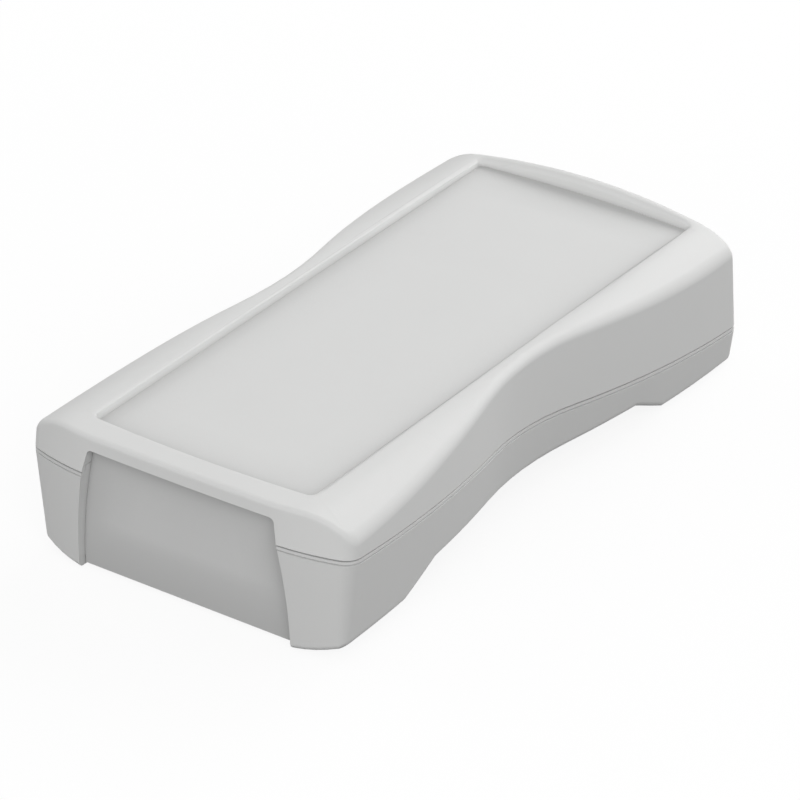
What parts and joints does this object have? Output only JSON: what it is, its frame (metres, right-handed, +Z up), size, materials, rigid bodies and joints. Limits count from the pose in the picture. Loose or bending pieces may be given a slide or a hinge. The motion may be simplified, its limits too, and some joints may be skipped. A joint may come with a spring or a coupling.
{
  "type": "handheld enclosure",
  "caption": "Light grey handheld plastic enclosure with a waisted grip, a sunk keypad recess on top, a flat front panel and screws driven from below.",
  "frame": {"origin": "under the middle of the case, at the level of the feet", "axes": "+Z up out of the keypad recess, +Y along the case from the front panel to the far end"},
  "size_m": [0.1014, 0.196, 0.0427],
  "materials": {
    "shell": "satin",
    "screw": "satin"
  },
  "bodies": {
    "root": {"upper_shell": "shell", "lower_shell": "shell", "front_panel": "shell", "case_screw_1": "screw", "case_screw_2": "screw", "case_screw_3": "screw", "case_screw_4": "screw"}
  },
  "joints": []
}
